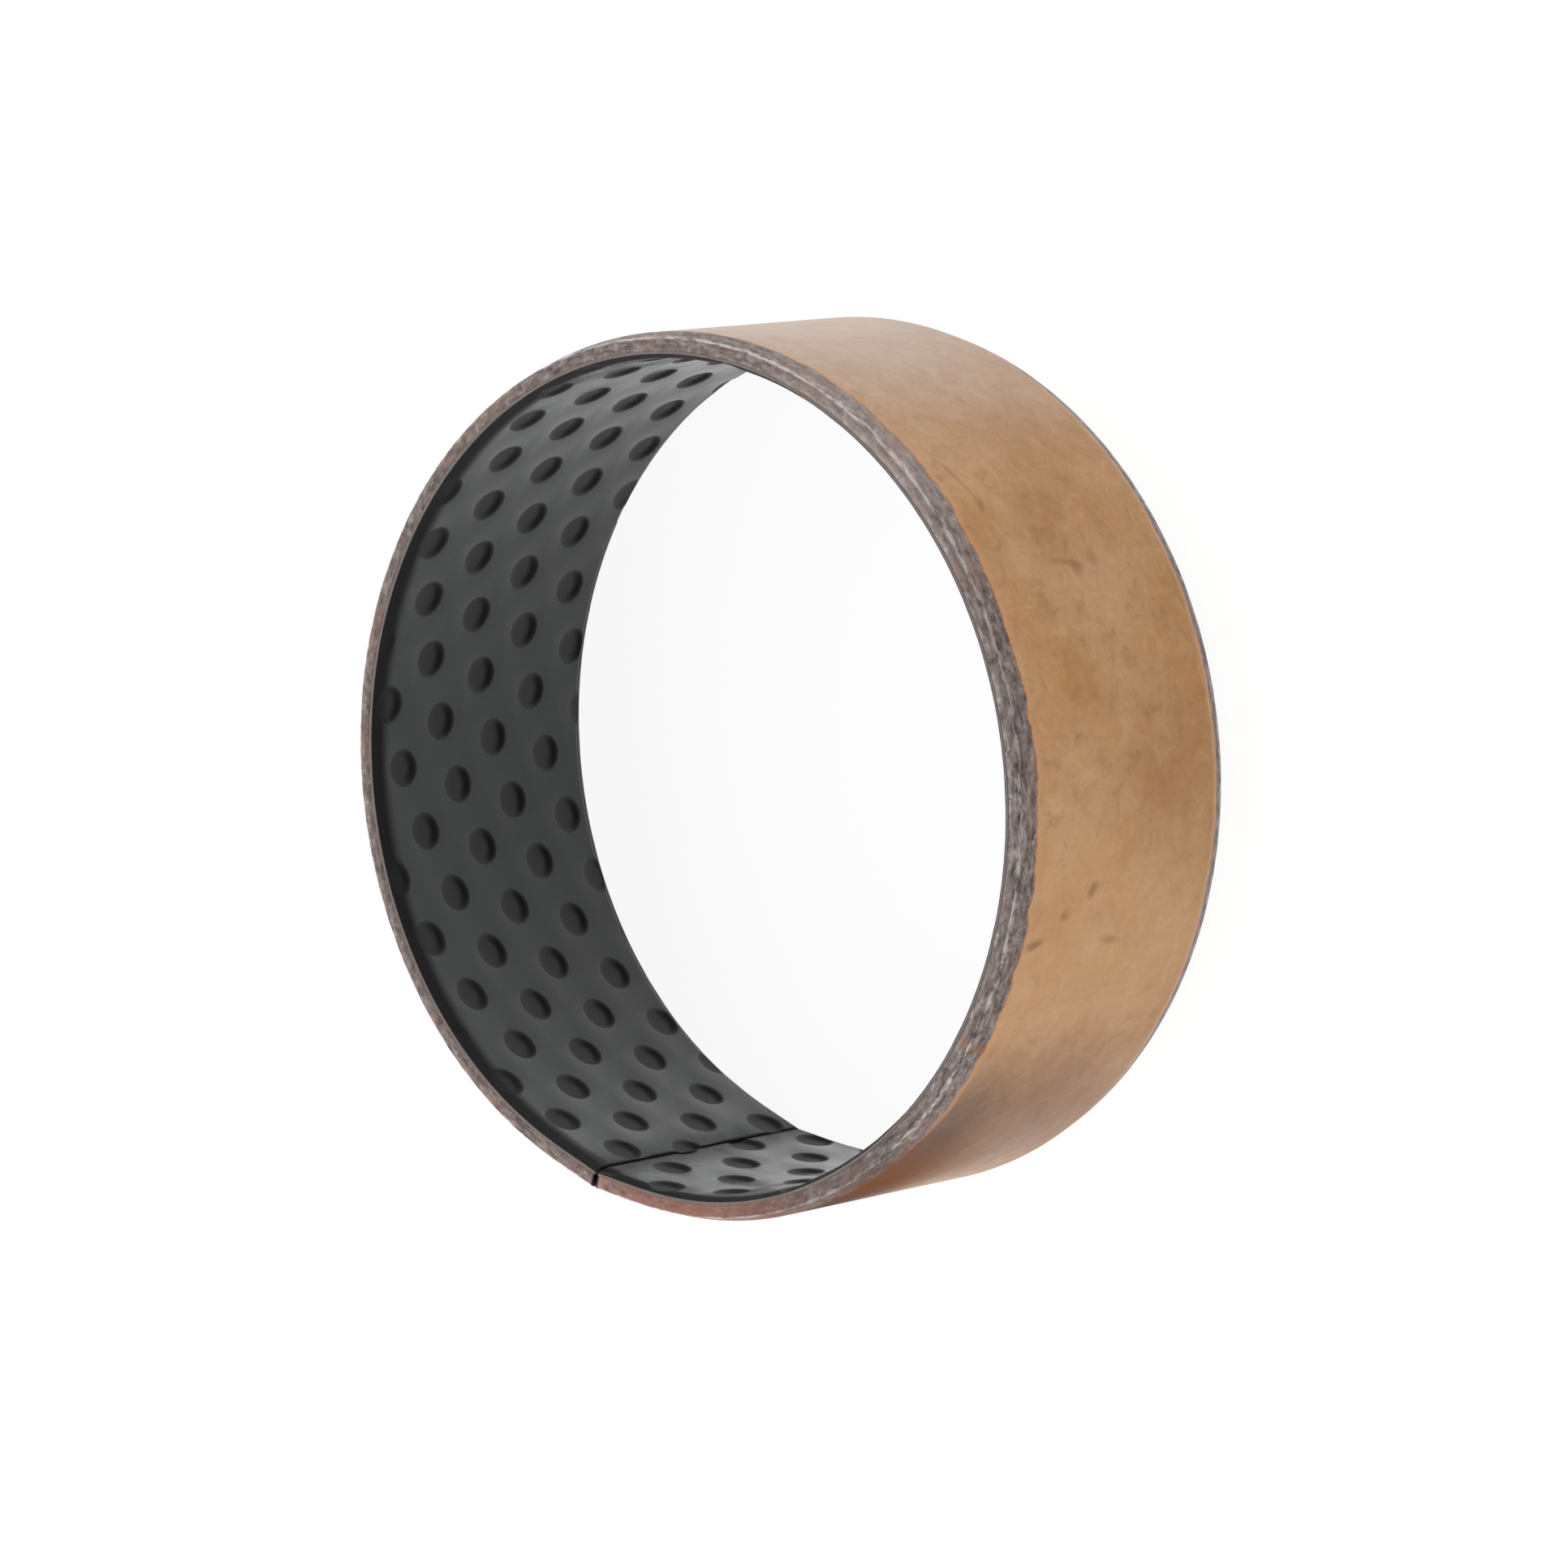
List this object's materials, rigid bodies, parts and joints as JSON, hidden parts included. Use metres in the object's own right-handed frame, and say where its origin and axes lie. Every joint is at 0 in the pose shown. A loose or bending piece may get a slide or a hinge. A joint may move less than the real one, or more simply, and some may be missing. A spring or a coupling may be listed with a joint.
{
  "type": "wrapped composite plain bushing",
  "caption": "Thin split bushing rolled from copper-coated steel strip, with a dark polymer lining dotted with shallow oil pockets and chamfered ends.",
  "frame": {"origin": "centre of the lower end face, on the bore axis", "axes": "+Z along the bore axis, from the lower end face to the upper; -Y through the split seam"},
  "size_m": [0.085, 0.085, 0.03],
  "materials": {
    "steel_backing": "low-carbon steel with a thin matte copper coating",
    "bronze_interlayer": "porous sintered bronze",
    "polymer_lining": "satin dark grey acetal lining"
  },
  "bodies": {
    "root": {"steel_backing": "steel_backing", "bronze_interlayer": "bronze_interlayer", "polymer_lining": "polymer_lining"}
  },
  "joints": []
}
